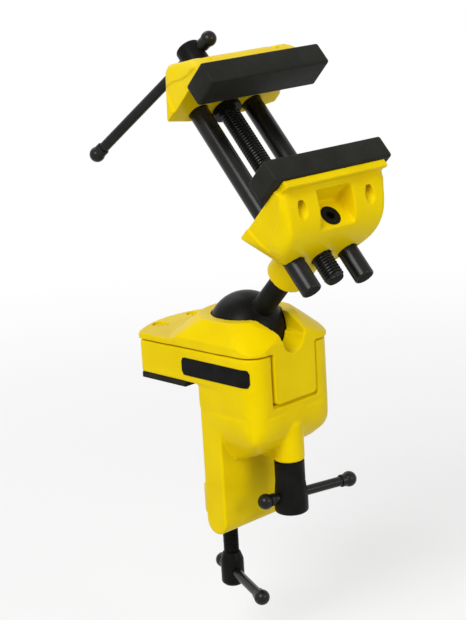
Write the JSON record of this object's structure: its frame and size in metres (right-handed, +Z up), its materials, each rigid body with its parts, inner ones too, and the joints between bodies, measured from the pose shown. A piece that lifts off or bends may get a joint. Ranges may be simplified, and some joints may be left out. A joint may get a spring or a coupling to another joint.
{
  "type": "ball-joint table vise",
  "caption": "Clamp-on hobby vise: a C-frame grips a table edge and a lockable ball joint carries soft-faced jaws moved by a screw on guide rods.",
  "frame": {"origin": "underside of the arm's pad, on the axis of the table clamp", "axes": "+X across the vise to the right seen from the front, +Y back over the table, +Z up"},
  "size_m": [0.0813, 0.1626, 0.2865],
  "materials": {
    "yellow_paint": "semi-gloss enamel on a casting",
    "black_steel": "black oxide, satin",
    "soft_black": "matt soft plastic",
    "seat_plastic": "matt nylon"
  },
  "bodies": {
    "frame": {"clamp_frame": "yellow_paint", "table_pad": "soft_black", "cover_screws": "black_steel"},
    "cover": {"socket_cover": "yellow_paint"},
    "lock": {"lock_screw": "black_steel", "lock_knob": "black_steel"},
    "lock_tommy": {"lock_bar": "black_steel", "lock_bar_ends": "black_steel"},
    "foot": {"clamp_foot": "black_steel"},
    "spindle": {"clamp_screw": "black_steel"},
    "clamp_tommy": {"clamp_bar": "black_steel", "clamp_bar_ends": "black_steel"},
    "seat": {"ball_seat": "seat_plastic"},
    "ball": {"ball_stem": "black_steel"},
    "head": {"fixed_jaw": "yellow_paint", "fixed_jaw_pad": "soft_black", "lead_nut": "black_steel", "nut_screw": "black_steel"},
    "slider": {"moving_jaw": "yellow_paint", "moving_jaw_pad": "soft_black", "guide_rod_left": "black_steel", "guide_rod_right": "black_steel"},
    "lead": {"lead_screw": "black_steel", "lead_screw_clip": "black_steel"},
    "vise_tommy": {"vise_bar": "black_steel", "vise_bar_ends": "black_steel"}
  },
  "joints": [
    {"name": "lock_turn", "type": "hinge", "parent": "frame", "child": "lock", "pos_m": [0, -0.045, -0.0562], "axis": [0, 0, 1], "range_deg": [-180, 0]},
    {"name": "cover_lift", "type": "hinge", "parent": "frame", "child": "cover", "pos_m": [0, 0.02699, 0.0194], "axis": [1, 0, 0], "range_deg": [-0.5, 0]},
    {"name": "lock_bar_slide", "type": "slide", "parent": "lock", "child": "lock_tommy", "axis": [0.972, -0.2351, 0], "range_m": [-0.0205, 0.0005]},
    {"name": "clamp_travel", "type": "slide", "parent": "frame", "child": "foot", "axis": [0, 0, 1], "range_m": [-0.033, 0.017]},
    {"name": "clamp_turn", "type": "hinge", "parent": "foot", "child": "spindle", "pos_m": [0, 0, -0.05], "axis": [0, 0, 1], "range_deg": [-9505, 4897]},
    {"name": "clamp_bar_slide", "type": "slide", "parent": "spindle", "child": "clamp_tommy", "axis": [0.4226, 0.9063, 0], "range_m": [-0.002, 0.03]},
    {"name": "ball_swivel", "type": "hinge", "parent": "frame", "child": "seat", "pos_m": [0, -0.021, 0.026], "axis": [0, 0, 1], "continuous": true},
    {"name": "ball_tilt", "type": "hinge", "parent": "seat", "child": "ball", "pos_m": [0, -0.021, 0.026], "axis": [0.9945, -0.1045, 0], "range_deg": [-90, 0]},
    {"name": "head_spin", "type": "hinge", "parent": "ball", "child": "head", "pos_m": [0, -0.021, 0.026], "axis": [-0.0739, -0.7032, 0.7071], "continuous": true},
    {"name": "jaw_slide", "type": "slide", "parent": "head", "child": "slider", "axis": [0.0739, 0.7032, 0.7071], "range_m": [-0.0456, 0.024]},
    {"name": "lead_screw_turn", "type": "hinge", "parent": "slider", "child": "lead", "pos_m": [0.00316, 0.0091, 0.15936], "axis": [0.0739, 0.7032, 0.7071], "range_deg": [-10945, 5761]},
    {"name": "vise_bar_slide", "type": "slide", "parent": "lead", "child": "vise_tommy", "axis": [0.2707, -0.6966, 0.6645], "range_m": [0, 0.0634]}
  ],
  "couplings": [
    {"joint": "cover_lift", "follows": "lock_turn", "ratio": 0.0027778},
    {"joint": "clamp_turn", "follows": "clamp_travel", "rad_per_m": 5026.5},
    {"joint": "lead_screw_turn", "follows": "jaw_slide", "rad_per_m": 4188.8}
  ]
}
